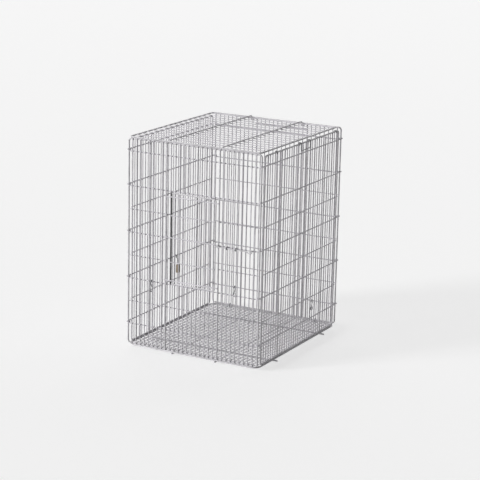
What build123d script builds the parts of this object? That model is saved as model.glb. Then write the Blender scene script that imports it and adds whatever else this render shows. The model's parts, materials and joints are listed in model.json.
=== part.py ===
"""Folding wire cage for a rabbit, built of welded wire panels.

Four wall panels stand on a mesh floor. The rails of the two side walls run on past their own
frames and end in eyes round the corner wires of the front and back walls, so the ring of walls
folds flat. The roof hooks over the back wall's top wire, the front wall has a door on a wire
hinge and a slide bolt, and a bail, three S-hooks and a chew block hang on the walls.

Units are millimetres. X is the width, Y the depth with the front at -Y, and Z is up. Each wall is
laid out as seen from outside: u to the right, z up, and w out of the wall from its hinge plane.
"""
from build123d import *
import math
import os

# Room inside the cage, from the floor mesh up to the roof, and how far outside it the corner wires stand
CAGE_WIDTH = 370.0
CAGE_DEPTH = 430.0
CAGE_HEIGHT = 540.0
CORNER_OUT = 4.0

# Wire diameters
FRAME_D = 4.0
STAY_D = 4.0
STILE_D = 4.0
DOOR_FRAME_D = 3.0
RAIL_D = 3.0
THIN_RAIL_D = 2.5
FINE_D = 2.5
FLOOR_WIRE_D = 2.0
BAR_D = 4.0
ROD_D = 3.0
BOLT_D = 3.0
GUIDE_D = 2.2
BAIL_D = 2.5
HOOK_D = 2.5
RING_D = 2.0
CLIP_D = 2.5
FINE_SIDES = 6
WIRE_SIDES = 8

# Fits: a wire eye round its pin, and a seat that carries a part that moves
EYE_GAP = 0.4
SEAT_GAP = 0.3
CRIMP_GAP = 0.1

# Wall panels
WIRE_PITCH = 12.7
CORNER_R = 7.0
LAP = 1.0
TOP_RAIL_DROP = 32.0
DOOR_RAIL_DROP = 121.0
FOOT_RAIL_RISE = 52.4
RAIL_BAYS = 3
SIDE_SETBACK = 16.5
SIDE_TOP_DROP = 5.0
SIDE_STAYS = (-115.0, 128.0)
BACK_STAYS = (-84.0, 64.0)
BACK_TIE_DROP = 16.0

# Door in the front wall, from the hinge stay to the latch stay, each set in from its corner wire
HINGE_STAY_INSET = 110.0
LATCH_STAY_INSET = 115.0
DOOR_SETBACK = 15.0
DOOR_LATCH_GAP = 9.0
DOOR_EDGE_GAP = 4.0
DOOR_RAIL_INSET = 8.5
DOOR_CORNER_R = 5.0
DOOR_STOP_LAP = 1.0

# Slide bolt beside the door
BOLT_DROP = 1.0
BOLT_TIP_GAP = 1.5
BOLT_LENGTH = 95.0
BOLT_LOOP_R = 3.5
BOLT_LOOP_RUN = 6.0
GUIDE_STEPS = (2, 4)

# Roof
ROOF_INSET = 3.0
ROOF_BACK_GAP = 22.0
ROOF_PITCH = 25.0
RODS_AT = (-66.0, 84.0)
ROD_NOSE = 0.5
ROD_DROP_GAP = 1.0

# Floor
FLOOR_CORNER_R = 20.0
LONG_BARS_AT = (-56.0, 69.5)
CROSS_BARS_AT = (-118.0, 148.0)
BAR_NOSE = 2.0
CLIPS_AT = (-127.0, 127.0)

# Pieces that hang on the walls
BAIL_AT = 6.4
BAIL_GAPS = 4
BAIL_LENGTH = 17.0
RINGS_AT = (-147.0, 185.0)
CHEW_AT = 19.0
CHEW_BLOCK = (9.0, 22.0, 8.0)
CHEW_SHANK = 23.0
CHEW_OFFSET = 5.4
CHEW_SOCKET = 6.0
FRONT_HOOK_AT = -122.0
BACK_HOOKS_AT = (-115.0, 122.0)
S_HOOK_LENGTH = 22.0
S_HOOK_MOUTH_R = 4.5
HOOK_TAIL = 3.0

# Heights worked out from the floor up
floor_top = 2 * BAR_D + FRAME_D
roof_underside = floor_top + CAGE_HEIGHT
wall_foot = floor_top + SEAT_GAP + FRAME_D / 2
wall_top = roof_underside - SEAT_GAP - FRAME_D / 2
side_top = wall_top - SIDE_TOP_DROP
roof_frame_z = roof_underside + FRAME_D / 2
rod_z = roof_underside + FRAME_D + ROD_D / 2

# Rails: one near the top, then bays of one height down to the foot, each halved by a thin rail
bay_height = (wall_top - wall_foot - FOOT_RAIL_RISE - DOOR_RAIL_DROP) / RAIL_BAYS
rail_drops = [TOP_RAIL_DROP] + [DOOR_RAIL_DROP + bay_height * i for i in range(RAIL_BAYS + 1)]
thin_rail_drops = [DOOR_RAIL_DROP + bay_height * (i + 0.5) for i in range(RAIL_BAYS)]
door_top_drop, door_middle_drop, door_foot_drop = rail_drops[1:4]
foot_rail_drop = rail_drops[-1]

# Layers of the front and back walls, out from the hinge plane
face_w = FRAME_D / 2
rail_w = face_w - RAIL_D / 2
thin_rail_w = face_w - THIN_RAIL_D / 2
fine_w = face_w + FINE_D / 2
stay_w = face_w + STAY_D / 2

# Layers of the side walls, whose rails pass outside the corner wires and outside all the rest
side_rail_w = FRAME_D / 2 + EYE_GAP + RAIL_D / 2
side_face_w = side_rail_w - RAIL_D / 2
side_frame_w = side_face_w - FRAME_D / 2
side_stay_w = side_face_w - STAY_D / 2
side_fine_w = side_face_w - FINE_D / 2
side_thin_w = side_face_w + THIN_RAIL_D / 2
side_rail_rise = RAIL_D + SEAT_GAP

# Layers of the door, whose rails pass outside the hinge stay
door_eye_r = STAY_D / 2 + EYE_GAP + RAIL_D / 2
door_rail_w = stay_w + door_eye_r
door_face_w = door_rail_w - RAIL_D / 2
bolt_w = door_face_w + SEAT_GAP + BOLT_D / 2

# Wire grids: a whole number of gaps as near the pitch as the panel allows
wall_half = CAGE_WIDTH / 2 + CORNER_OUT
side_half = CAGE_DEPTH / 2 + CORNER_OUT
wall_gaps = round(2 * wall_half / WIRE_PITCH)
wall_pitch = 2 * wall_half / wall_gaps
wall_grid = [-wall_half + wall_pitch * k for k in range(1, wall_gaps)]
side_frame_half = side_half - SIDE_SETBACK
side_count = 2 * math.floor((side_frame_half - FRAME_D / 2 - FINE_D) / WIRE_PITCH) + 1
side_grid = [WIRE_PITCH * (k - side_count // 2) for k in range(side_count)]

# The walls, each seen from outside
FRONT = Plane((0, -side_half, 0), x_dir=(1, 0, 0), z_dir=(0, -1, 0))
BACK = Plane((0, side_half, 0), x_dir=(-1, 0, 0), z_dir=(0, 1, 0))
LEFT = Plane((-wall_half, 0, 0), x_dir=(0, -1, 0), z_dir=(-1, 0, 0))
RIGHT = Plane((wall_half, 0, 0), x_dir=(0, 1, 0), z_dir=(1, 0, 0))

# The middle of the whole cage, which is the origin of the finished model
floor_half_x = wall_half + side_frame_w
hang_r = RAIL_D / 2 + EYE_GAP + HOOK_D / 2
left_reach = side_rail_w + hang_r + HOOK_D / 2
right_reach = side_rail_w + RAIL_D / 2
guide_r = BOLT_D / 2 + SEAT_GAP + GUIDE_D / 2
front_reach = bolt_w + guide_r + GUIDE_D / 2
roof_hook_r = FRAME_D / 2 + EYE_GAP + ROD_D / 2
back_reach = rail_w + S_HOOK_MOUTH_R + HOOK_D / 2
centre_x = (right_reach - left_reach) / 2
centre_y = (back_reach - front_reach) / 2
ORIGIN = Pos(-centre_x, -centre_y, 0)


def nearest(grid, spot):
    """The wire of a grid nearest to a spot."""
    return min(grid, key=lambda wire: abs(wire - spot))


def nearest_gap(grid, spot):
    """The middle of the gap between two wires of a grid nearest to a spot."""
    middles = [(a + b) / 2 for a, b in zip(grid, grid[1:])]
    return nearest(middles, spot)


def section(width, sides):
    """Wire section: round, or with a flat turned to each wire that it is welded to."""
    if sides == 0:
        return Circle(width / 2)
    return RegularPolygon(width / 2, sides, major_radius=False, rotation=180 / sides)


def straight(start, end, width, sides=WIRE_SIDES, facing=(0, 0, 1)):
    """One straight wire."""
    along = Vector(*end) - Vector(*start)
    first = Plane(start, x_dir=facing, z_dir=along)
    return extrude(first * section(width, sides), along.length)


def bent(points, width, sides=WIRE_SIDES, facing=(0, 0, 1)):
    """One wire bent along a row of points, mitred at each."""
    path = Polyline(*points)
    first = Plane(points[0], x_dir=facing, z_dir=path % 0)
    return sweep(first * section(width, sides), path=path, transition=Transition.RIGHT)


def bend(centre, radius, first, last, steps):
    """Points of a bend in a plane: short flats that touch a circle, from one angle to another."""
    step = math.radians(last - first) / steps
    reach = radius / math.cos(step / 2)
    angles = [math.radians(first) + step * (i + 0.5) for i in range(steps)]
    return [(centre[0] + reach * math.cos(a), centre[1] + reach * math.sin(a)) for a in angles]


def loop(left, right, low, high, level, radius, width, sides=0):
    """A frame wire bent to a rectangle with rounded corners, in the plane at one level."""
    middle = ((left + right) / 2, low)
    corners = [(right - radius, low + radius, -90), (right - radius, high - radius, 0),
               (left + radius, high - radius, 90), (left + radius, low + radius, 180)]
    points = [middle]
    for x, y, first in corners:
        points += bend((x, y), radius, first, first + 90, 3)
    points.append(middle)
    return bent([(x, y, level) for x, y in points], width, sides)


def uprights(grid, low, high, w, width, sides=FINE_SIDES):
    """A row of upright wires of one length."""
    return [straight((u, low, w), (u, high, w), width, sides) for u in grid]


def rails(drops, left, right, w, width, rise=0.0, sides=WIRE_SIDES):
    """Level wires at their drops below the wall's top wire."""
    heights = [wall_top - drop + rise for drop in drops]
    return [straight((left, z, w), (right, z, w), width, sides) for z in heights]


def eye(u, side, radius, pin_w):
    """Points of a wire's eye round an upright pin, from the wire's run to the eye's end."""
    turns = bend((0, 0), radius, 90, -180, 6)
    points = [(u + side * x, pin_w + y) for x, y in turns]
    return points + [(u - side * radius, pin_w)]


def hanging(points, u):
    """Turns points of a bent wire's own plane, (w, z), into wall places at u."""
    return [(u, z, w) for w, z in points]


def place(wall, solids):
    """Moves a wall's solids to their wall."""
    return [wall.location * solid for solid in solids]


def back_wall():
    """The back wall spans between two corner wires, with a short tie between its stays."""
    stays = [nearest(wall_grid, at) for at in BACK_STAYS]
    fine = [u for u in wall_grid if u not in stays]
    reach = wall_half - FRAME_D / 2
    low, high = wall_foot - LAP, wall_top + LAP
    left, right = stays[0] - STAY_D / 2, stays[1] + STAY_D / 2
    frame = loop(-wall_half, wall_half, wall_foot, wall_top, 0, CORNER_R, FRAME_D)
    return {
        "back_frame": place(BACK, [frame]),
        "back_uprights": place(BACK, uprights(fine, low, high, fine_w, FINE_D)),
        "back_rails": place(BACK, rails(rail_drops, -reach, reach, rail_w, RAIL_D)),
        "back_thin_rails": place(BACK, rails(thin_rail_drops, -reach, reach, thin_rail_w, THIN_RAIL_D)),
        "back_stays": place(BACK, uprights(stays, low, high, stay_w, STAY_D, WIRE_SIDES)),
        "back_tie": place(BACK, rails([BACK_TIE_DROP], left, right, thin_rail_w, THIN_RAIL_D)),
    }


def side_rails():
    """Rails that end in an eye round the corner wire at each end."""
    made = []
    for drop in rail_drops:
        z = wall_top - drop + side_rail_rise
        near = eye(-side_half, -1, side_rail_w, 0)
        far = eye(side_half, 1, side_rail_w, 0)
        made.append(bent([(u, z, w) for u, w in near[::-1] + far], RAIL_D, facing=(0, 1, 0)))
    return made


def side_wall(wall, name):
    """A side wall: its frame stands back from the corners and its rails reach them."""
    half = side_frame_half
    low = wall_foot + FRAME_D / 2
    high = side_top - FRAME_D / 2
    stays = [nearest(side_grid, at if wall is RIGHT else -at) for at in SIDE_STAYS]
    fine = [u for u in side_grid if u not in stays]
    frame = loop(-half, half, wall_foot, side_top, side_frame_w, CORNER_R, FRAME_D, WIRE_SIDES)
    return {
        f"{name}_frame": place(wall, [frame]),
        f"{name}_uprights": place(wall, uprights(fine, low, high, side_fine_w, FINE_D)),
        f"{name}_rails": place(wall, side_rails()),
        f"{name}_thin_rails": place(wall, rails(thin_rail_drops, -half, half, side_thin_w, THIN_RAIL_D)),
        f"{name}_stays": place(wall, uprights(stays, low, high, side_stay_w, STAY_D, WIRE_SIDES)),
    }


# Places in the front wall that the door, its hinge and its bolt share
hinge_u = nearest(wall_grid, HINGE_STAY_INSET - wall_half)
latch_u = nearest(wall_grid, wall_half - LATCH_STAY_INSET)
door_left = hinge_u + DOOR_SETBACK
door_right = latch_u - DOOR_LATCH_GAP
door_top = wall_top - door_top_drop - DOOR_EDGE_GAP
door_foot = wall_top - door_foot_drop + DOOR_EDGE_GAP
door_frame_w = door_face_w - DOOR_FRAME_D / 2
stile_w = door_face_w - STILE_D / 2
bolt_z = wall_top - door_middle_drop - BOLT_DROP


def front_wall():
    """The front wall is cut away between the two stays, where the door fits."""
    whole_rails = [d for d in rail_drops if not door_top_drop < d < door_foot_drop]
    cut_rails = [d for d in rail_drops if d not in whole_rails]
    whole_thin = [d for d in thin_rail_drops if not door_top_drop < d < door_foot_drop]
    cut_thin = [d for d in thin_rail_drops if d not in whole_thin]
    bay = [u for u in wall_grid if hinge_u < u < latch_u]
    beside = [u for u in wall_grid if u < hinge_u or u > latch_u]
    reach = wall_half - FRAME_D / 2
    low, high = wall_foot - LAP, wall_top + LAP
    above = uprights(bay, wall_top - door_top_drop - LAP, high, fine_w, FINE_D)
    below = uprights(bay, low, wall_top - door_foot_drop + LAP, fine_w, FINE_D)
    strong = rails(whole_rails, -reach, reach, rail_w, RAIL_D)
    thin = rails(whole_thin, -reach, reach, thin_rail_w, THIN_RAIL_D)
    for left, right in ((-reach, hinge_u + STAY_D / 2), (latch_u - STAY_D / 2, reach)):
        strong += rails(cut_rails, left, right, rail_w, RAIL_D)
        thin += rails(cut_thin, left, right, thin_rail_w, THIN_RAIL_D)
    frame = loop(-wall_half, wall_half, wall_foot, wall_top, 0, CORNER_R, FRAME_D)
    return {
        "front_frame": place(FRONT, [frame]),
        "front_uprights": place(FRONT, uprights(beside, low, high, fine_w, FINE_D)),
        "front_bay_uprights": place(FRONT, above + below),
        "front_rails": place(FRONT, strong),
        "front_thin_rails": place(FRONT, thin),
        "door_hinge_stay": place(FRONT, uprights([hinge_u], low, high, stay_w, STAY_D, 0)),
        "door_latch_stay": place(FRONT, uprights([latch_u], low, high, stay_w, STAY_D, WIRE_SIDES)),
        "bolt_guides": place(FRONT, bolt_guides()),
    }


def bolt_guides():
    """Two staples on uprights beside the door, round the slide bolt."""
    made = []
    right_of_door = [u for u in wall_grid if u > latch_u]
    for step in GUIDE_STEPS:
        u = right_of_door[step - 1]
        foot_w = fine_w + FINE_D / 2
        arch = bend((bolt_w, bolt_z), guide_r, 90, -90, 4)
        points = [(foot_w, bolt_z + guide_r)] + arch + [(foot_w, bolt_z - guide_r)]
        made.append(bent(hanging(points, u), GUIDE_D, facing=(1, 0, 0)))
    return made


def door():
    """The door: a grille in a frame closed by a dark stile, whose rails end in eyes round the hinge."""
    first = door_left + STILE_D / 2
    inner = door_right - DOOR_FRAME_D / 2
    fine = [u for u in wall_grid if first < u - FINE_D and u + FINE_D < inner]
    middle_z = wall_top - door_middle_drop + side_rail_rise
    thin_drops = [d for d in thin_rail_drops if door_top_drop < d < door_foot_drop]
    hinged = []
    for z in (door_top - DOOR_RAIL_INSET, middle_z, door_foot + DOOR_RAIL_INSET):
        run = eye(hinge_u, -1, door_eye_r, stay_w)[::-1] + [(latch_u + DOOR_STOP_LAP, door_rail_w)]
        hinged.append(bent([(u, z, w) for u, w in run], RAIL_D, facing=(0, 1, 0)))
    corner_u = door_right - DOOR_CORNER_R
    upper = bend((corner_u, door_top - DOOR_CORNER_R), DOOR_CORNER_R, 90, 0, 3)
    lower = bend((corner_u, door_foot + DOOR_CORNER_R), DOOR_CORNER_R, 0, -90, 3)
    edge = [(first, door_top)] + upper + lower + [(first, door_foot)]
    frame = bent([(u, z, door_frame_w) for u, z in edge], DOOR_FRAME_D)
    half = DOOR_FRAME_D / 2
    stile = uprights([door_left], door_foot - half, door_top + half, stile_w, STILE_D, WIRE_SIDES)
    grille = uprights(fine, door_foot + half, door_top - half, door_face_w - FINE_D / 2, FINE_D)
    thin = rails(thin_drops, door_left, door_right, door_face_w + THIN_RAIL_D / 2, THIN_RAIL_D)
    return {
        "door_frame": place(FRONT, [frame]),
        "door_stile": place(FRONT, stile),
        "door_uprights": place(FRONT, grille),
        "door_rails": place(FRONT, hinged),
        "door_thin_rails": place(FRONT, thin),
    }


def slide_bolt():
    """A rod with a finger loop, drawn back to the right of the door as it is stored."""
    tip = door_right + DOOR_FRAME_D / 2 + BOLT_TIP_GAP
    near = tip + BOLT_LENGTH - BOLT_LOOP_RUN / 2
    far = near + BOLT_LOOP_RUN
    neck = [(near - 2 * BOLT_LOOP_R, bolt_z), (near, bolt_z - BOLT_LOOP_R)]
    ring = bend((far, bolt_z), BOLT_LOOP_R, -90, 90, 4) + bend((near, bolt_z), BOLT_LOOP_R, 90, 150, 1)
    end = math.radians(140)
    ring.append((near + BOLT_LOOP_R * math.cos(end), bolt_z + BOLT_LOOP_R * math.sin(end)))
    points = [(tip, bolt_z)] + neck + ring
    return {"slide_bolt": place(FRONT, [bent([(u, z, bolt_w) for u, z in points], BOLT_D)])}


def roof():
    """The roof: frame and wires on the walls, under two rods that hook round the back top wire."""
    half = wall_half - ROOF_INSET
    back = side_half - ROOF_BACK_GAP
    frame = loop(-half, half, -side_half, back, roof_frame_z, CORNER_R, FRAME_D, WIRE_SIDES)
    count = math.floor((back + side_half - FRAME_D / 2 - FINE_D) / ROOF_PITCH)
    wire_z = roof_underside + FRAME_D - FINE_D / 2
    reach = half - FRAME_D / 2
    wires = []
    for j in range(1, count + 1):
        y = -side_half + ROOF_PITCH * j
        wires.append(straight((-reach, y, wire_z), (reach, y, wire_z), FINE_D, FINE_SIDES))
    nose = (-side_half - FRAME_D / 2 - ROD_NOSE, rod_z)
    drop_y = back + FRAME_D / 2 + ROD_DROP_GAP + ROD_D / 2
    down = bend((drop_y - roof_hook_r, rod_z - roof_hook_r), roof_hook_r, 90, 0, 2)
    foot = bend((drop_y + roof_hook_r, wall_top), roof_hook_r, 180, 270, 2)
    up = bend((side_half, wall_top), roof_hook_r, 270, 360, 2)
    run = [nose] + down + foot + up + [(side_half + roof_hook_r, wall_top)]
    rods = []
    for at in RODS_AT:
        x = nearest_gap(wall_grid, at)
        rods.append(bent([(x, y, z) for y, z in run], ROD_D, facing=(1, 0, 0)))
    return {"roof_frame": [frame], "roof_wires": wires, "roof_rods": rods}


def inside_corner(offset, half, corner_r):
    """How far a floor wire at an offset from the middle reaches, inside the rounded frame."""
    into = max(0.0, offset - (half - corner_r))
    return corner_r - math.sqrt(max(0.0, (corner_r - FRAME_D / 2) ** 2 - into ** 2))


def floor():
    """The floor: a frame filled with square mesh, on two pairs of crossed bars."""
    half_x = floor_half_x
    half_y = side_half
    corner = FLOOR_CORNER_R
    frame_z = 2 * BAR_D + FRAME_D / 2
    frame = loop(-half_x, half_x, -half_y, half_y, frame_z, corner, FRAME_D, WIRE_SIDES)
    upper_z = floor_top - FLOOR_WIRE_D / 2
    lower_z = upper_z - FLOOR_WIRE_D
    across = math.floor((half_y - FRAME_D / 2 - FLOOR_WIRE_D) / WIRE_PITCH)
    width_wires = []
    for j in range(-across, across + 1):
        y = WIRE_PITCH * j
        reach = half_x - inside_corner(abs(y) + FLOOR_WIRE_D / 2, half_y, corner)
        width_wires.append(straight((-reach, y, upper_z), (reach, y, upper_z), FLOOR_WIRE_D, FINE_SIDES))
    depth_wires = []
    for x in wall_grid:
        reach = half_y - inside_corner(abs(x) + FLOOR_WIRE_D / 2, half_x, corner)
        depth_wires.append(straight((x, -reach, lower_z), (x, reach, lower_z), FLOOR_WIRE_D, FINE_SIDES))
    end_x = half_x + FRAME_D / 2 + BAR_NOSE
    end_y = half_y + FRAME_D / 2 + BAR_NOSE
    long_z = BAR_D * 1.5
    cross_z = BAR_D / 2
    long_bars = [straight((x, -end_y, long_z), (x, end_y, long_z), BAR_D) for x in LONG_BARS_AT]
    cross_bars = [straight((-end_x, y, cross_z), (end_x, y, cross_z), BAR_D) for y in CROSS_BARS_AT]
    return {
        "floor_frame": [frame],
        "floor_width_wires": width_wires,
        "floor_depth_wires": depth_wires,
        "floor_long_bars": long_bars,
        "floor_cross_bars": cross_bars,
        "floor_clips": floor_clips(frame_z),
    }


def floor_clips(frame_z):
    """Clips that tie the back wall's foot wire to the floor's frame."""
    radius = FRAME_D / 2 + CRIMP_GAP + CLIP_D / 2
    upper = bend((side_half, wall_foot), radius, 0, 180, 4)
    lower = bend((side_half, frame_z), radius, 180, 315, 3)
    run = [(side_half + radius, frame_z)] + upper + lower
    made = []
    for at in CLIPS_AT:
        x = nearest_gap(wall_grid, at)
        made.append(bent([(x, y, z) for y, z in run], CLIP_D, facing=(1, 0, 0)))
    return made


def top_bail():
    """A bail that swings on the right wall's top wire and hangs outside it."""
    radius = FRAME_D / 2 + EYE_GAP + BAIL_D / 2
    near = nearest_gap(side_grid, BAIL_AT - BAIL_GAPS * WIRE_PITCH / 2)
    far = near + BAIL_GAPS * WIRE_PITCH
    turns = bend((side_frame_w, side_top), radius, 270, 0, 6)
    foot_z = side_top - BAIL_LENGTH
    curl = [(side_frame_w, side_top - radius)] + turns
    corner_r = BAIL_D
    foot = bend((near + corner_r, foot_z + corner_r), corner_r, 180, 270, 2)
    leg_w = side_frame_w + radius
    half = [(near, z, w) for w, z in curl] + [(u, z, leg_w) for u, z in foot]
    mirrored = [(near + far - u, z, w) for u, z, w in half[::-1]]
    return {"top_bail": place(RIGHT, [bent(half + mirrored, BAIL_D, facing=(1, 0, 0))])}


def top_rings():
    """Two rings crimped on the right wall's top wire."""
    radius = FRAME_D / 2 + CRIMP_GAP + RING_D / 2
    turn = bend((side_frame_w, side_top), radius, -60, 240, 6)
    made = [bent(hanging(turn, nearest_gap(side_grid, at)), RING_D, facing=(1, 0, 0)) for at in RINGS_AT]
    return {"right_top_rings": place(RIGHT, made)}


def chew_block():
    """A wooden chew block on a wire hook over a rail of the left wall."""
    u = nearest_gap(side_grid, -CHEW_AT)
    rail_z = wall_top - door_foot_drop + side_rail_rise
    tail_z = rail_z - HOOK_TAIL
    over = bend((side_rail_w, rail_z), hang_r, 0, 180, 4)
    shank_w = side_rail_w - hang_r
    block_w = shank_w - CHEW_OFFSET
    top = rail_z - CHEW_SHANK
    points = [(side_rail_w + hang_r, tail_z)] + over
    points += [(shank_w, tail_z), (block_w, tail_z - CHEW_OFFSET), (block_w, top - CHEW_SOCKET)]
    hook = bent(hanging(points, u), HOOK_D, facing=(1, 0, 0))
    width, height, thickness = CHEW_BLOCK
    block = Pos(u, top - height / 2, block_w) * Box(width, height, thickness)
    block = chamfer(block.edges(), 1.0) - hook
    return {"chew_block": place(LEFT, block.solids()), "chew_block_hook": place(LEFT, [hook])}


def s_hook(wall, at, drop):
    """An S-hook over a rail, hanging between two uprights with its mouth turned out."""
    u = nearest_gap(wall_grid, at)
    rail_z = wall_top - drop
    over = bend((rail_w, rail_z), hang_r, 180, 0, 4)
    mouth_z = rail_z - S_HOOK_LENGTH
    mouth = bend((rail_w, mouth_z), S_HOOK_MOUTH_R, 180, 360, 4)
    points = [(rail_w - hang_r, rail_z - HOOK_TAIL)] + over
    points += [(rail_w + hang_r, rail_z - 2 * HOOK_TAIL), (rail_w - S_HOOK_MOUTH_R, mouth_z + HOOK_TAIL)]
    points += mouth + [(rail_w + S_HOOK_MOUTH_R, mouth_z + HOOK_TAIL)]
    return place(wall, [bent(hanging(points, u), HOOK_D, facing=(1, 0, 0))])


def build():
    """Every node of the cage, by name."""
    nodes = {}
    nodes.update(floor())
    nodes.update(back_wall())
    nodes.update(side_wall(LEFT, "left"))
    nodes.update(side_wall(RIGHT, "right"))
    nodes.update(front_wall())
    nodes.update(door())
    nodes.update(slide_bolt())
    nodes.update(roof())
    nodes.update(top_bail())
    nodes.update(top_rings())
    nodes.update(chew_block())
    nodes["front_s_hook"] = s_hook(FRONT, FRONT_HOOK_AT, door_foot_drop)
    nodes["back_right_s_hook"] = s_hook(BACK, BACK_HOOKS_AT[0], foot_rail_drop)
    nodes["back_left_s_hook"] = s_hook(BACK, BACK_HOOKS_AT[1], foot_rail_drop)
    return nodes


def print_axes():
    """The hinge axes and the bolt's line, in the finished model's frame."""
    chew_z = wall_top - door_foot_drop + side_rail_rise
    foot_rail_z = wall_top - foot_rail_drop
    axes = {
        "back left corner": (-wall_half, side_half, 0),
        "back right corner": (wall_half, side_half, 0),
        "front left corner": (-wall_half, -side_half, 0),
        "roof hinge": (0, side_half, wall_top),
        "door hinge": (hinge_u, -side_half - stay_w, 0),
        "slide bolt": (latch_u, -side_half - bolt_w, bolt_z),
        "top bail": (wall_half + side_frame_w, BAIL_AT, side_top),
        "chew block": (-wall_half - side_rail_w, -nearest_gap(side_grid, -CHEW_AT), chew_z),
        "front hook": (nearest_gap(wall_grid, FRONT_HOOK_AT), -side_half - rail_w, wall_top - door_foot_drop),
        "back right hook": (-nearest_gap(wall_grid, BACK_HOOKS_AT[0]), side_half + rail_w, foot_rail_z),
        "back left hook": (-nearest_gap(wall_grid, BACK_HOOKS_AT[1]), side_half + rail_w, foot_rail_z),
    }
    for name, (x, y, z) in axes.items():
        print(f"{name}: {x - centre_x:.3f} {y - centre_y:.3f} {z:.3f}")


os.makedirs("parts", exist_ok=True)
for name, solids in build().items():
    export_step(Compound(children=[ORIGIN * solid for solid in solids], label=name), f"parts/{name}.step")
print_axes()
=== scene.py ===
"""Folding wire cage: round wires, welds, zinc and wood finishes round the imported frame."""
import json
import math

import bmesh
import bpy
from mathutils import Matrix, Vector


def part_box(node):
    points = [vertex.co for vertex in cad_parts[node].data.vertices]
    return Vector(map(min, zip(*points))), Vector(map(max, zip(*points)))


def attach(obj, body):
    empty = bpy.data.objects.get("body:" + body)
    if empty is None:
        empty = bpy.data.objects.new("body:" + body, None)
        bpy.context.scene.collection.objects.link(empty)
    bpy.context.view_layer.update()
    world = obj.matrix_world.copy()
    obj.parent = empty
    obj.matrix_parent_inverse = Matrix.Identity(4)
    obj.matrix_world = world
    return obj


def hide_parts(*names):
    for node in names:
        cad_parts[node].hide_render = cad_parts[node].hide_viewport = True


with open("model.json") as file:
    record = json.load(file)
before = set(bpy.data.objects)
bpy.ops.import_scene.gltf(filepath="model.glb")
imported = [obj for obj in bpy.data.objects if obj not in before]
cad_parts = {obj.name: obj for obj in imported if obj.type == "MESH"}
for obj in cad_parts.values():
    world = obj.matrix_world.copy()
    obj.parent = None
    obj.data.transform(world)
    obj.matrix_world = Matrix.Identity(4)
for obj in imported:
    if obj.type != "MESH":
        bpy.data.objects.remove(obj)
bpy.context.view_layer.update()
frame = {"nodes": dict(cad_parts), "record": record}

MM = 0.001
UP = Vector((0, 0, 1))

# Bends and fits of the formed wires, as in the part's source
CORNER_R = 7.0 * MM
DOOR_CORNER_R = 5.0 * MM
FLOOR_CORNER_R = 20.0 * MM
FRAME_R = 2.0 * MM
DOOR_FRAME_R = 1.5 * MM
RAIL_R = 1.5 * MM
ROD_R = 1.5 * MM
ROD_DROP_GAP = 1.0 * MM
BOLT_R = 1.5 * MM
GUIDE_R = 1.1 * MM
CLIP_R = 1.25 * MM
RING_R = 1.0 * MM
BAIL_R = 1.25 * MM
HOOK_R = 1.25 * MM
EYE_GAP = 0.4 * MM
SEAT_GAP = 0.3 * MM
CRIMP_GAP = 0.1 * MM
BOLT_LOOP_R = 3.5 * MM
BOLT_LOOP_RUN = 6.0 * MM
BOLT_TAIL = math.radians(30)
S_HOOK_MOUTH_R = 4.5 * MM
HOOK_TAIL = 3.0 * MM

# Open ends of a clip and a ring, and a bend a touch tighter than its run, all as shares of the radius
CLIP_TAIL = 0.4
RING_OPENING = 0.5
TIGHT_BEND = 0.98

# Sides of a wire's round section, steps in a quarter turn, and broken edges
FINE_SIDES = 10
HEAVY_SIDES = 14
BEND_STEPS = 6
CUT_BREAK = 0.4 * MM
BLOCK_BREAK = 1.1 * MM

# Lengths in metres below which two points are one
SAME_POINT = 1e-7
SAME_CORNER = 1e-6

# Weld nuggets: spread and rise as shares of the wire's radius, and the gaps at which wires count as touching
WELD_SPREAD = 1.3
WELD_RISE = 0.6
WELD_GAP = 0.3 * MM
WELD_SINK = 0.8 * MM

# Zinc finish: share of bare metal, clouds, specks and patches as scale, detail, and lowest and highest value
METALLIC = 0.10
ZINC_CLOUDS = (45.0, 3.0, 0.35, 0.68)
ZINC_SPECKS = (900.0, 2.0, 0.45, 0.75)
ZINC_PATCHES = (12.0, 2.0, 0.42, 0.62)
SPECK_SHADE = 0.72
SPECK_SHARE = 0.35
SPECK_ROUGHNESS = 0.06
PATCH_ROUGHNESS = 0.14
DRAWN_SCALE, DRAWN_DETAIL = 1400.0, 2.0
DRAWN_BUMP, DRAWN_DEPTH = 0.12, 0.2 * MM

# Wood finish: grain drawn out up the block, in the same terms as the zinc
GRAIN_STRETCH = (420.0, 420.0, 26.0)
WOOD_GRAIN = (1.0, 4.0, 0.35, 0.7, 0.6)
WOOD_CLOUDS = (60.0, 2.0, 0.3, 0.7)
WOOD_PALE = (0.26, 0.205, 0.145)
WOOD_DARK = (0.15, 0.115, 0.075)
WOOD_CLOUD_TONE = (0.30, 0.25, 0.19)
WOOD_CLOUD_SHARE = 0.4
WOOD_ROUGHNESS, GRAIN_ROUGHNESS = 0.62, 0.2
GRAIN_BUMP, GRAIN_DEPTH = 0.3, 0.4 * MM

# Stage and light: suns as strength, spread, tilt and swing in degrees
FLOOR_R = 30.0
FLOOR_SIDES = 96
FLOOR_DROP = 0.4 * MM
FLOOR_ROUGHNESS = 0.9
FLOOR_TONE = (0.50, 0.50, 0.50)
FLOOR_GLOW = (0.60, 0.60, 0.60)
BLACK = (0.0, 0.0, 0.0)
WHITE = (1.0, 1.0, 1.0)
SURROUND_LIGHT = 0.07
SUNS = {
    "key_sun": (3.0, 16.0, 75.0, -39.0),
    "back_sun": (1.2, 90.0, 70.0, -165.0),
}

# Camera in metres and degrees, fitted to the corner wires and the rails' eyes
CAMERA_AT = Vector((2.07374, -3.76953, 1.36700))
AZIMUTH, ELEVATION, ROLL = (math.radians(a) for a in (28.62, 14.35, 1.23))
FOCAL_PIXELS = 1705.63
PICTURE_PIXELS = 480.0
SENSOR_MM = 36.0
CAMERA_REACH = 100.0


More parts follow.
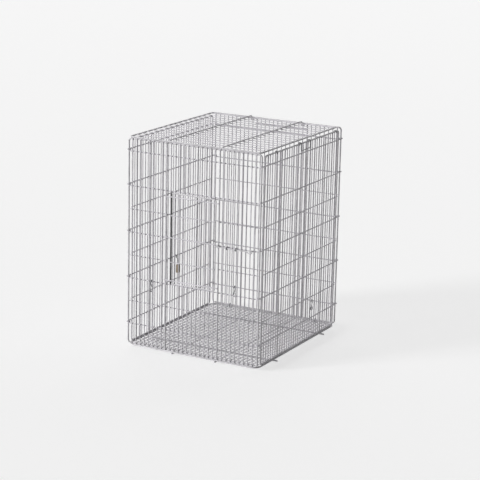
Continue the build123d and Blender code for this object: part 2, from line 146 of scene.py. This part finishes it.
def solids_of(node):
    """Lowest and highest corner of each separate wire of a CAD node."""
    bm = bmesh.new()
    bm.from_mesh(frame["nodes"][node].data)
    bmesh.ops.remove_doubles(bm, verts=bm.verts, dist=SAME_CORNER)
    left = set(bm.verts)
    boxes = []
    while left:
        wave = [left.pop()]
        found = list(wave)
        while wave:
            near = {e.other_vert(v) for v in wave for e in v.link_edges} & left
            left -= near
            found += near
            wave = list(near)
        low = Vector([min(v.co[i] for v in found) for i in range(3)])
        high = Vector([max(v.co[i] for v in found) for i in range(3)])
        boxes.append((low, high))
    bm.free()
    return sorted(boxes, key=lambda b: tuple(round(c, 6) for c in b[0]))


def middle(box):
    return (box[0] + box[1]) / 2


def long_axis(box):
    size = box[1] - box[0]
    return max(range(3), key=lambda i: size[i])


def add_straight(bm, box, sides, end_bevel=0.0):
    """A round wire along the long way of a box, with its cut ends broken if asked."""
    axis = long_axis(box)
    size = box[1] - box[0]
    radius = min(size[i] for i in range(3) if i != axis) / 2
    heading = Vector([float(i == axis) for i in range(3)])
    turn = UP.rotation_difference(heading).to_matrix().to_4x4()
    place = Matrix.Translation(middle(box)) @ turn
    made = bmesh.ops.create_cone(bm, cap_ends=True, cap_tris=False, segments=sides, radius1=radius,
                                 radius2=radius, depth=size[axis], matrix=place)
    edges = {e for v in made["verts"] for e in v.link_edges}
    rims = {e for e in edges if abs((e.verts[0].co - e.verts[1].co).dot(heading)) < SAME_POINT}
    if end_bevel:
        bmesh.ops.bevel(bm, geom=list(rims), offset=end_bevel, offset_type="OFFSET", affect="EDGES",
                        segments=2, profile=0.5, material=-1)
    else:
        for edge in rims:
            edge.smooth = False


class BentWire:
    """A round wire made as a bending machine makes it: fed straight, then turned about a centre."""

    def __init__(self, bm, start, heading, radius, sides):
        self.bm = bm
        self.at = Vector(start)
        self.heading = heading.normalized()
        rim = bmesh.ops.create_circle(bm, cap_ends=False, segments=sides, radius=radius)["verts"]
        turn = UP.rotation_difference(self.heading).to_matrix().to_4x4()
        bmesh.ops.transform(bm, matrix=Matrix.Translation(self.at) @ turn, verts=rim)
        self.ring = list({e for v in rim for e in v.link_edges})
        self.start_rim = self.ring

    def feed(self, length):
        """Goes straight on."""
        if length < SAME_POINT:
            return
        made = bmesh.ops.extrude_edge_only(self.bm, edges=self.ring)["geom"]
        new = {g for g in made if isinstance(g, bmesh.types.BMVert)}
        self.ring = [g for g in made if isinstance(g, bmesh.types.BMEdge) and set(g.verts) <= new]
        bmesh.ops.translate(self.bm, verts=list(new), vec=self.heading * length)
        self.at = self.at + self.heading * length

    def turn(self, toward, radius, angle):
        """Bends about a centre on the given side."""
        centre = self.at + toward * radius
        axis = self.heading.cross(toward).normalized()
        steps = max(1, round(BEND_STEPS * angle / (math.pi / 2)))
        rim = list({v for e in self.ring for v in e.verts}) + self.ring
        made = bmesh.ops.spin(self.bm, geom=rim, cent=centre, axis=axis, angle=angle, steps=steps,
                              dvec=(0, 0, 0), use_duplicate=False)
        self.ring = [g for g in made["geom_last"] if isinstance(g, bmesh.types.BMEdge)]
        spun = Matrix.Rotation(angle, 3, axis)
        self.at = centre + spun @ (self.at - centre)
        self.heading = (spun @ self.heading).normalized()

    def cap(self):
        """Closes both cut ends."""
        for rim in (self.start_rim, self.ring):
            bmesh.ops.contextual_create(self.bm, geom=rim)
            for edge in rim:
                edge.smooth = False


def add_bent(bm, points, bend_r, radius, sides=HEAVY_SIDES, closed=False):
    """A round wire along corner points, each corner bent to one radius."""
    points = [Vector(p) for p in points]
    if closed:
        start = (points[0] + points[-1]) / 2
        points = [start] + points + [start]
    runs = [b - a for a, b in zip(points, points[1:])]
    wire = BentWire(bm, points[0], runs[0], radius, sides)
    used = 0.0
    for run, after in zip(runs, runs[1:]):
        angle = run.angle(after)
        need = bend_r * math.tan(angle / 2)
        wire.feed(run.length - used - need)
        toward = (after - after.project(run)).normalized()
        wire.turn(toward, bend_r, angle)
        used = need
    wire.feed(runs[-1].length - used)
    if not closed:
        wire.cap()


def finish_piece(name, bm, body, slot, nodes=()):
    """Turns a bmesh into a piece that rides on a body and stands for CAD nodes."""
    bmesh.ops.remove_doubles(bm, verts=bm.verts, dist=SAME_POINT)
    bmesh.ops.recalc_face_normals(bm, faces=bm.faces)
    mesh = bpy.data.meshes.new(name)
    for face in bm.faces:
        face.smooth = len(face.verts) <= 4
    bm.to_mesh(mesh)
    bm.free()
    piece = bpy.data.objects.new(name, mesh)
    bpy.context.scene.collection.objects.link(piece)
    mesh.materials.append(FINISH[slot])
    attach(piece, body)
    if nodes:
        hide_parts(*nodes)


class Shade:
    """A socket in a node tree, with arithmetic that adds the Math nodes it needs."""

    def __init__(self, tree, socket=None):
        self.tree = tree
        self.socket = socket

    def node(self, kind, settings=None, **inputs):
        """Adds a node. Its inputs go by name, with _ for a space, or by number as i0, i1 and so on."""
        made = self.tree.nodes.new(kind)
        for key, value in (settings or {}).items():
            setattr(made, key, value)
        for key, value in inputs.items():
            numbered = key[0] == "i" and key[1:].isdigit()
            socket = made.inputs[int(key[1:]) if numbered else key.replace("_", " ")]
            if isinstance(value, Shade):
                self.tree.links.new(value.socket, socket)
            else:
                socket.default_value = value
        return made

    def out(self, kind, output=0, settings=None, **inputs):
        return Shade(self.tree, self.node(kind, settings, **inputs).outputs[output])

    def math(self, operation, *values):
        inputs = {f"i{i}": v for i, v in enumerate(values)}
        return self.out("ShaderNodeMath", settings={"operation": operation}, **inputs)

    def __add__(self, other):
        return self.math("ADD", self, other)

    def __radd__(self, other):
        return self.math("ADD", other, self)

    def __mul__(self, other):
        return self.math("MULTIPLY", self, other)

    def __rmul__(self, other):
        return self.math("MULTIPLY", other, self)

    def noise(self, scale, detail, roughness=0.5):
        return self.out("ShaderNodeTexNoise", "Fac", Vector=self, Scale=scale, Detail=detail,
                        Roughness=roughness)

    def ramp(self, low, high):
        """Maps this value from low..high to 0..1."""
        return self.out("ShaderNodeMapRange", settings={"clamp": True}, Value=self,
                        From_Min=low, From_Max=high)

    def blotches(self, scale, detail, low, high, roughness=0.5):
        """Noise on this vector, spread from low..high to 0..1."""
        return self.noise(scale, detail, roughness).ramp(low, high)

    def mix(self, first, second):
        """Colour between two, by this value."""
        colours = [c if isinstance(c, Shade) else (*c, 1.0) for c in (first, second)]
        return self.out("ShaderNodeMix", 2, {"data_type": "RGBA"}, Factor=self, i6=colours[0], i7=colours[1])


def new_material(name):
    """A material with its shader, and the object coordinates that its pattern reads."""
    material = bpy.data.materials.new(name)
    material.use_nodes = True
    tree = material.node_tree
    shader = tree.nodes["Principled BSDF"]
    coords = Shade(tree).out("ShaderNodeTexCoord", "Object")
    return material, tree, shader, coords


def connect(tree, value, socket):
    tree.links.new(value.socket, socket)


def zinc(name, bright, dull, roughness):
    """Zinc-plated drawn wire: cloudy tone, dull patches and fine drawing marks."""
    material, tree, shader, coords = new_material(name)
    cloud = coords.blotches(*ZINC_CLOUDS)
    speck = coords.blotches(*ZINC_SPECKS)
    patch = coords.blotches(*ZINC_PATCHES)
    speck_tone = tuple(SPECK_SHADE * c for c in dull)
    tone = (speck * SPECK_SHARE).mix(cloud.mix(bright, dull), speck_tone)
    connect(tree, tone, shader.inputs["Base Color"])
    rough = roughness + patch * PATCH_ROUGHNESS + speck * SPECK_ROUGHNESS
    connect(tree, rough, shader.inputs["Roughness"])
    shader.inputs["Metallic"].default_value = METALLIC
    drawn = coords.noise(DRAWN_SCALE, DRAWN_DETAIL)
    bump = coords.out("ShaderNodeBump", "Normal", Height=drawn, Strength=DRAWN_BUMP, Distance=DRAWN_DEPTH)
    connect(tree, bump, shader.inputs["Normal"])
    return material


def softwood(name):
    """Bare softwood with straight grain up the block."""
    material, tree, shader, coords = new_material(name)
    along = coords.out("ShaderNodeMapping", Vector=coords, Scale=GRAIN_STRETCH)
    grain = along.blotches(*WOOD_GRAIN)
    cloud = coords.blotches(*WOOD_CLOUDS)
    tone = (cloud * WOOD_CLOUD_SHARE).mix(grain.mix(WOOD_PALE, WOOD_DARK), WOOD_CLOUD_TONE)
    connect(tree, tone, shader.inputs["Base Color"])
    connect(tree, WOOD_ROUGHNESS + grain * GRAIN_ROUGHNESS, shader.inputs["Roughness"])
    bump = coords.out("ShaderNodeBump", "Normal", Height=grain, Strength=GRAIN_BUMP, Distance=GRAIN_DEPTH)
    connect(tree, bump, shader.inputs["Normal"])
    return material


FINISH = {
    "heavy_wire": zinc("zinc_heavy_wire", (0.64, 0.627, 0.653), (0.51, 0.50, 0.52), 0.41),
    "mesh_wire": zinc("zinc_mesh_wire", (0.64, 0.621, 0.659), (0.51, 0.495, 0.525), 0.39),
    "formed_wire": zinc("zinc_formed_wire", (0.32, 0.32, 0.33), (0.22, 0.22, 0.23), 0.42),
    # A near-black tone given to the wires of the dark_wire slot, such as the door stile
    "dark_wire": zinc("near_black_wire", (0.05, 0.05, 0.05), (0.025, 0.025, 0.025), 0.5),
    "wood": softwood("chew_block_wood"),
}
BODY_OF = {node: body for body, nodes in frame["record"]["behaviour"]["bodies"].items() for node in nodes}
SLOT_OF = {s["node"]: s["material_slot"] for s in frame["record"]["subparts"]}


def straight_piece(node, sides, end_bevel=0.0):
    """The straight wires of a CAD node, made round."""
    bm = bmesh.new()
    for box in solids_of(node):
        add_straight(bm, box, sides, end_bevel)
    finish_piece(f"{node}_round", bm, BODY_OF[node], SLOT_OF[node], [node])


def bent_piece(node, wires):
    """Bent wires that stand for a CAD node: (points, bend radius, wire radius, closed) for each."""
    bm = bmesh.new()
    for points, bend_r, radius, closed in wires:
        add_bent(bm, points, bend_r, radius, closed=closed)
    finish_piece(f"{node}_round", bm, BODY_OF[node], SLOT_OF[node], [node])


def frame_piece(node, bend_r):
    """A frame wire bent to a rectangle, in the plane of its CAD node."""
    low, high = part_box(node)
    flat = min(range(3), key=lambda i: high[i] - low[i])
    a, b = [i for i in range(3) if i != flat]
    corners = []
    for at_a, at_b in ((low, low), (high, low), (high, high), (low, high)):
        point = (low + high) / 2
        point[a] = at_a[a] + (FRAME_R if at_a is low else -FRAME_R)
        point[b] = at_b[b] + (FRAME_R if at_b is low else -FRAME_R)
        corners.append(point)
    bent_piece(node, [(corners, bend_r, FRAME_R, True)])


# Frames of the floor, walls, door and roof
for node in ("back_frame", "front_frame", "left_frame", "right_frame", "roof_frame"):
    frame_piece(node, CORNER_R)
frame_piece("floor_frame", FLOOR_CORNER_R)


def door_edge():
    """Points of the door's frame wire, from the stile's top round to its foot."""
    low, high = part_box("door_frame")
    y = (low.y + high.y) / 2
    foot, top, right = low.z + DOOR_FRAME_R, high.z - DOOR_FRAME_R, high.x - DOOR_FRAME_R
    return [(low.x, y, top), (right, y, top), (right, y, foot), (low.x, y, foot)]


bent_piece("door_frame", [(door_edge(), DOOR_CORNER_R, DOOR_FRAME_R, False)])

# Straight wires of the mesh, the rails, the stays and the bars
for node in ("floor_width_wires", "floor_depth_wires", "roof_wires", "back_uprights", "left_uprights",
             "right_uprights", "front_uprights", "front_bay_uprights", "door_uprights", "back_thin_rails",
             "left_thin_rails", "right_thin_rails", "front_thin_rails", "door_thin_rails", "back_tie",
             "back_rails", "front_rails"):
    straight_piece(node, FINE_SIDES)
for node in ("back_stays", "left_stays", "right_stays", "door_hinge_stay", "door_latch_stay", "door_stile",
             "floor_long_bars", "floor_cross_bars"):
    straight_piece(node, HEAVY_SIDES, CUT_BREAK)

# Corner pins and top wires that the bent wires turn round
back_y = middle(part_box("back_frame")).y
front_y = middle(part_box("front_frame")).y
right_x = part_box("front_frame")[1].x - FRAME_R
left_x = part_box("front_frame")[0].x + FRAME_R
wall_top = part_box("back_frame")[1].z - FRAME_R
side_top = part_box("right_frame")[1].z - FRAME_R
right_top_x = middle(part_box("right_frame")).x


def side_rail(box, outward):
    """Points of a side wall's rail, from the eye round one corner wire to the eye round the other."""
    z = middle(box).z
    r = FRAME_R + EYE_GAP + RAIL_R
    pin_x = right_x if outward > 0 else left_x
    run_x = pin_x + outward * r
    back_x = pin_x - outward * r
    near = [(pin_x, front_y + r, z), (back_x, front_y + r, z), (back_x, front_y - r, z),
            (run_x, front_y - r, z)]
    far = [(x, front_y + back_y - y, h) for x, y, h in near[::-1]]
    return near + far, r, RAIL_R, False


bent_piece("left_rails", [side_rail(box, -1) for box in solids_of("left_rails")])
bent_piece("right_rails", [side_rail(box, 1) for box in solids_of("right_rails")])


def door_rail(box):
    """Points of a door rail, from the eye round the hinge stay to its free end."""
    pin = middle(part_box("door_hinge_stay"))
    z = middle(box).z
    r = FRAME_R + EYE_GAP + RAIL_R
    points = [(pin.x + r, pin.y, z), (pin.x + r, pin.y + r, z), (pin.x - r, pin.y + r, z),
              (pin.x - r, pin.y - r, z), (box[1].x, pin.y - r, z)]
    return points, r, RAIL_R, False


bent_piece("door_rails", [door_rail(box) for box in solids_of("door_rails")])


def roof_rod(box):
    """Points of a roof rod, from its nose to the hook round the back wall's top wire."""
    x = middle(box).x
    r = FRAME_R + EYE_GAP + ROD_R
    z = box[1].z - ROD_R
    drop_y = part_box("roof_frame")[1].y + ROD_DROP_GAP + ROD_R
    points = [(x, box[0].y, z), (x, drop_y, z), (x, drop_y, wall_top - r), (x, back_y + r, wall_top - r),
              (x, back_y + r, wall_top)]
    return points, r, ROD_R, False


bent_piece("roof_rods", [roof_rod(box) for box in solids_of("roof_rods")])


def floor_clip(box):
    """Points of a clip round the back wall's foot wire and the floor's frame."""
    x = middle(box).x
    r = FRAME_R + CRIMP_GAP + CLIP_R
    floor_z = middle(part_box("floor_frame")).z
    foot_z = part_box("back_frame")[0].z + FRAME_R
    points = [(x, back_y + r, floor_z), (x, back_y + r, foot_z + r), (x, back_y - r, foot_z + r),
              (x, back_y - r, floor_z - r), (x, back_y + CLIP_TAIL * r, floor_z - r)]
    return points, r, CLIP_R, False


bent_piece("floor_clips", [floor_clip(box) for box in solids_of("floor_clips")])

bolt_low, bolt_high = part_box("slide_bolt")
bolt_y = (bolt_low.y + bolt_high.y) / 2
bolt_z = (bolt_low.z + bolt_high.z) / 2


def bolt_guide(box):
    """Points of a staple on an upright, round the bolt."""
    x = middle(box).x
    r = BOLT_R + SEAT_GAP + GUIDE_R
    points = [(x, box[1].y, bolt_z + r), (x, bolt_y - r, bolt_z + r), (x, bolt_y - r, bolt_z - r),
              (x, box[1].y, bolt_z - r)]
    return points, r, GUIDE_R, False


bent_piece("bolt_guides", [bolt_guide(box) for box in solids_of("bolt_guides")])


def bolt_path():
    """Points of the slide bolt, from its tip over its neck and round its finger loop."""
    r = BOLT_LOOP_R
    end = bolt_high.x - BOLT_R
    near = end - r - BOLT_LOOP_RUN
    tip, neck = (bolt_low.x, bolt_z), (near - 2 * r, bolt_z)
    run = [tip, neck, (near, bolt_z - r), (end, bolt_z - r), (end, bolt_z + r),
           (near - r * math.tan(BOLT_TAIL), bolt_z + r),
           (near - r * math.cos(BOLT_TAIL), bolt_z + r * math.sin(BOLT_TAIL))]
    return [(x, bolt_y, z) for x, z in run], r, BOLT_R, False


bent_piece("slide_bolt", [bolt_path()])


def bail_path():
    """Points of the bail, from one eye on the right wall's top wire down and up to the other."""
    low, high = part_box("top_bail")
    r = FRAME_R + EYE_GAP + BAIL_R
    near, far = low.y + BAIL_R, high.y - BAIL_R
    x = right_top_x
    foot = low.z + BAIL_R
    half = [(x, near, side_top - r), (x - r, near, side_top - r), (x - r, near, side_top + r),
            (x + r, near, side_top + r), (x + r, near, foot)]
    other = [(px, near + far - py, pz) for px, py, pz in half[::-1]]
    return half + other, r, BAIL_R, False


bent_piece("top_bail", [bail_path()])


def top_ring(box):
    """Points of a ring crimped on the right wall's top wire."""
    y = middle(box).y
    r = FRAME_R + CRIMP_GAP + RING_R
    x = right_top_x
    gap = RING_OPENING * r
    points = [(x + gap, y, side_top - r), (x + r, y, side_top - r), (x + r, y, side_top + r),
              (x - r, y, side_top + r), (x - r, y, side_top - r), (x - gap, y, side_top - r)]
    return points, TIGHT_BEND * r / 2, RING_R, False


bent_piece("right_top_rings", [top_ring(box) for box in solids_of("right_top_rings")])

# Chew block on its hook
hook_low, hook_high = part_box("chew_block_hook")
block_low, block_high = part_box("chew_block")


def chew_hook():
    """Points of the hook over the left wall's rail, down into the block."""
    y = (hook_low.y + hook_high.y) / 2
    r = RAIL_R + EYE_GAP + HOOK_R
    rail_x = hook_low.x + HOOK_R + r
    rail_z = hook_high.z - HOOK_R - r
    shank_x = (block_low.x + block_high.x) / 2
    points = [(rail_x - r, y, rail_z - HOOK_TAIL), (rail_x - r, y, rail_z + r), (rail_x + r, y, rail_z + r),
              (rail_x + r, y, rail_z - HOOK_TAIL), (shank_x, y, rail_z - HOOK_TAIL - (shank_x - rail_x - r)),
              (shank_x, y, hook_low.z)]
    return points, r, HOOK_R, False


bent_piece("chew_block_hook", [chew_hook()])


def chew_block():
    """The wooden block: a bar with worn edges."""
    bm = bmesh.new()
    size = block_high - block_low
    place = Matrix.Translation((block_low + block_high) / 2) @ Matrix.Diagonal((*size, 1.0))
    bmesh.ops.create_cube(bm, size=1.0, matrix=place)
    bmesh.ops.bevel(bm, geom=bm.edges[:], offset=BLOCK_BREAK, offset_type="OFFSET", affect="EDGES",
                    segments=4, profile=0.5, material=-1)
    finish_piece("chew_block_bar", bm, BODY_OF["chew_block"], "wood", ["chew_block"])


chew_block()


def s_hook(node, outward):
    """Points of an S-hook over a rail, with its mouth turned out."""
    low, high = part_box(node)
    x = (low.x + high.x) / 2
    r = RAIL_R + EYE_GAP + HOOK_R
    m = S_HOOK_MOUTH_R
    rail_y = (low.y + high.y) / 2
    rail_z = high.z - HOOK_R - r
    mouth_z = low.z + HOOK_R + m
    run = [(-r, rail_z - HOOK_TAIL), (-r, rail_z + r), (r, rail_z + r), (r, rail_z - 2 * HOOK_TAIL),
           (-m, mouth_z + HOOK_TAIL), (-m, mouth_z - m), (m, mouth_z - m), (m, mouth_z + HOOK_TAIL)]
    return [(x, rail_y + outward * w, z) for w, z in run], TIGHT_BEND * r, HOOK_R, False


bent_piece("front_s_hook", [s_hook("front_s_hook", -1)])
for node in ("back_right_s_hook", "back_left_s_hook"):
    bent_piece(node, [s_hook(node, 1)])


# Weld nuggets, squeezed out where two wires cross and touch
def thin_box(centre, axis, half_length, radius):
    """Box of a straight run of wire."""
    half = Vector([half_length if i == axis else radius for i in range(3)])
    return centre - half, centre + half


def side_run(box, outward):
    """The straight run of a side wall's rail, between its eyes."""
    r = FRAME_R + EYE_GAP + RAIL_R
    pin_x = right_x if outward > 0 else left_x
    centre = Vector((pin_x + outward * r, (front_y + back_y) / 2, middle(box).z))
    return thin_box(centre, 1, (back_y - front_y) / 2, RAIL_R)


def door_run(box):
    """The straight run of a door rail, past its eye."""
    centre = middle(box)
    centre.y = box[0].y + RAIL_R
    return thin_box(centre, 0, (box[1].x - box[0].x) / 2, RAIL_R)


def rod_run(box):
    """The straight run of a roof rod, in front of its hook."""
    drop_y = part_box("roof_frame")[1].y
    centre = Vector((middle(box).x, (box[0].y + drop_y) / 2, box[1].z - ROD_R))
    return thin_box(centre, 1, (drop_y - box[0].y) / 2, ROD_R)


def frame_runs(node):
    """The four straight runs of a rectangular frame wire."""
    low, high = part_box(node)
    centre, half = (low + high) / 2, (high - low) / 2
    flat = min(range(3), key=lambda i: half[i])
    a, b = [i for i in range(3) if i != flat]
    runs = []
    for along, across in ((a, b), (b, a)):
        for side in (-1, 1):
            place = centre.copy()
            place[across] += side * (half[across] - FRAME_R)
            runs.append(thin_box(place, along, half[along] - CORNER_R, FRAME_R))
    return runs


def add_nugget(bm, place, normal, radius):
    """A flat bead of metal on wires of one radius, thin along the given axis."""
    spread = Vector((radius, radius, radius)) * WELD_SPREAD
    spread[normal] = radius * WELD_RISE
    shape = Matrix.Translation(place) @ Matrix.Diagonal((*spread, 1.0))
    bmesh.ops.create_icosphere(bm, subdivisions=1, radius=1.0, matrix=shape)


def add_weld(bm, first, second):
    """One nugget, if the two wires cross and touch."""
    i, j = long_axis(first), long_axis(second)
    if i == j:
        return
    n = 3 - i - j
    place = middle(first)
    place[i] = middle(second)[i]
    if not (first[0][i] <= place[i] <= first[1][i] and second[0][j] <= place[j] <= second[1][j]):
        return
    upper, lower = (first, second) if middle(first)[n] > middle(second)[n] else (second, first)
    gap = upper[0][n] - lower[1][n]
    if not -WELD_SINK < gap < WELD_GAP:
        return
    place[n] = (upper[0][n] + lower[1][n]) / 2
    radius = min(first[1][n] - first[0][n], second[1][n] - second[0][n]) / 2
    add_nugget(bm, place, n, radius)


def add_end_welds(bm, box):
    """A nugget at each end of a wire that is butted against a frame."""
    axis = long_axis(box)
    size = box[1] - box[0]
    for end in box:
        place = middle(box)
        place[axis] = end[axis]
        add_nugget(bm, place, axis, min(size) / 2)


def welds(name, body, uprights, rails, butted=()):
    """The nuggets of one mesh: each wire of the first set on each of the second, and butted ends."""
    bm = bmesh.new()
    for first in uprights:
        for second in rails:
            add_weld(bm, first, second)
    for box in butted:
        add_end_welds(bm, box)
    finish_piece(name, bm, body, "mesh_wire")


def wires_of(*nodes):
    return [box for node in nodes for box in solids_of(node)]


welds("floor_welds", "base", wires_of("floor_width_wires", "floor_long_bars"),
      wires_of("floor_depth_wires", "floor_cross_bars"),
      wires_of("floor_width_wires", "floor_depth_wires"))
welds("back_welds", "base", wires_of("back_uprights", "back_stays") + frame_runs("back_frame"),
      wires_of("back_rails", "back_thin_rails", "back_tie") + frame_runs("back_frame"))
welds("front_welds", "front_wall",
      wires_of("front_uprights", "front_bay_uprights", "door_hinge_stay", "door_latch_stay")
      + frame_runs("front_frame"),
      wires_of("front_rails", "front_thin_rails") + frame_runs("front_frame"))
for side, outward in (("left", -1), ("right", 1)):
    welds(f"{side}_welds", f"{side}_wall",
          wires_of(f"{side}_uprights", f"{side}_stays") + frame_runs(f"{side}_frame"),
          wires_of(f"{side}_thin_rails") + [side_run(box, outward) for box in solids_of(f"{side}_rails")]
          + frame_runs(f"{side}_frame"), wires_of(f"{side}_uprights"))
welds("door_welds", "door", wires_of("door_uprights", "door_stile"),
      wires_of("door_thin_rails") + [door_run(box) for box in solids_of("door_rails")])
welds("roof_welds", "roof", wires_of("roof_wires") + frame_runs("roof_frame"),
      [rod_run(box) for box in solids_of("roof_rods")] + frame_runs("roof_frame"),
      wires_of("roof_wires"))


def plain_sight(tree):
    """1 for rays that see the surround itself: straight, mirrored or through glass."""
    path = Shade(tree).node("ShaderNodeLightPath")
    straight, mirrored, through = (Shade(tree, path.outputs[name])
                                   for name in ("Is Camera Ray", "Is Glossy Ray", "Is Transmission Ray"))
    return straight.math("MAXIMUM", straight.math("MAXIMUM", straight, mirrored), through)


# Stage: a pale floor under a plain white surround
floor_bm = bmesh.new()
bmesh.ops.create_circle(floor_bm, cap_ends=True, segments=FLOOR_SIDES, radius=FLOOR_R)
floor_mesh = bpy.data.meshes.new("floor_sheet")
floor_bm.to_mesh(floor_mesh)
floor_bm.free()
floor = bpy.data.objects.new("floor_sheet", floor_mesh)
floor.location.z = -FLOOR_DROP
bpy.context.scene.collection.objects.link(floor)
floor_material = bpy.data.materials.new("floor_white")
floor_material.use_nodes = True
floor_tree = floor_material.node_tree
floor_shader = floor_tree.nodes["Principled BSDF"]
floor_shader.inputs["Base Color"].default_value = (*FLOOR_TONE, 1.0)
floor_shader.inputs["Roughness"].default_value = FLOOR_ROUGHNESS
floor_shader.inputs["Emission Strength"].default_value = 1.0
floor_glow = plain_sight(floor_tree).mix(BLACK, FLOOR_GLOW)
connect(floor_tree, floor_glow, floor_shader.inputs["Emission Color"])
floor_mesh.materials.append(floor_material)

# Light: a white surround, a low key from the front left, and a broad weaker sun from the back
world = bpy.data.worlds.new("surround")
bpy.context.scene.world = world
world.use_nodes = True
world_tree = world.node_tree
background = world_tree.nodes["Background"]
background.inputs["Color"].default_value = (*WHITE, 1.0)
strength = SURROUND_LIGHT + plain_sight(world_tree) * (1.0 - SURROUND_LIGHT)
connect(world_tree, strength, background.inputs["Strength"])

for name, (energy, angle, tilt, swing) in SUNS.items():
    light = bpy.data.lights.new(name, "SUN")
    light.energy = energy
    light.angle = math.radians(angle)
    lamp = bpy.data.objects.new(name, light)
    lamp.rotation_euler = (math.radians(tilt), 0.0, math.radians(swing))
    bpy.context.scene.collection.objects.link(lamp)

# Camera at the photograph's standpoint
camera_data = bpy.data.cameras.new("photo_camera")
camera_data.sensor_width = SENSOR_MM
camera_data.lens = SENSOR_MM * FOCAL_PIXELS / PICTURE_PIXELS
camera_data.clip_end = CAMERA_REACH
camera = bpy.data.objects.new("photo_camera", camera_data)
level = Vector((math.sin(AZIMUTH), -math.cos(AZIMUTH), 0.0))
backward = level * math.cos(ELEVATION) + UP * math.sin(ELEVATION)
right = (-backward).cross(UP).normalized()
upward = backward.cross(right)
rolled_right = math.cos(ROLL) * right + math.sin(ROLL) * upward
rolled_up = math.cos(ROLL) * upward - math.sin(ROLL) * right
turned = Matrix((rolled_right, rolled_up, backward)).transposed().to_4x4()
camera.matrix_world = Matrix.Translation(CAMERA_AT) @ turned
bpy.context.scene.collection.objects.link(camera)
bpy.context.scene.camera = camera
bpy.context.scene.view_settings.view_transform = "Standard"
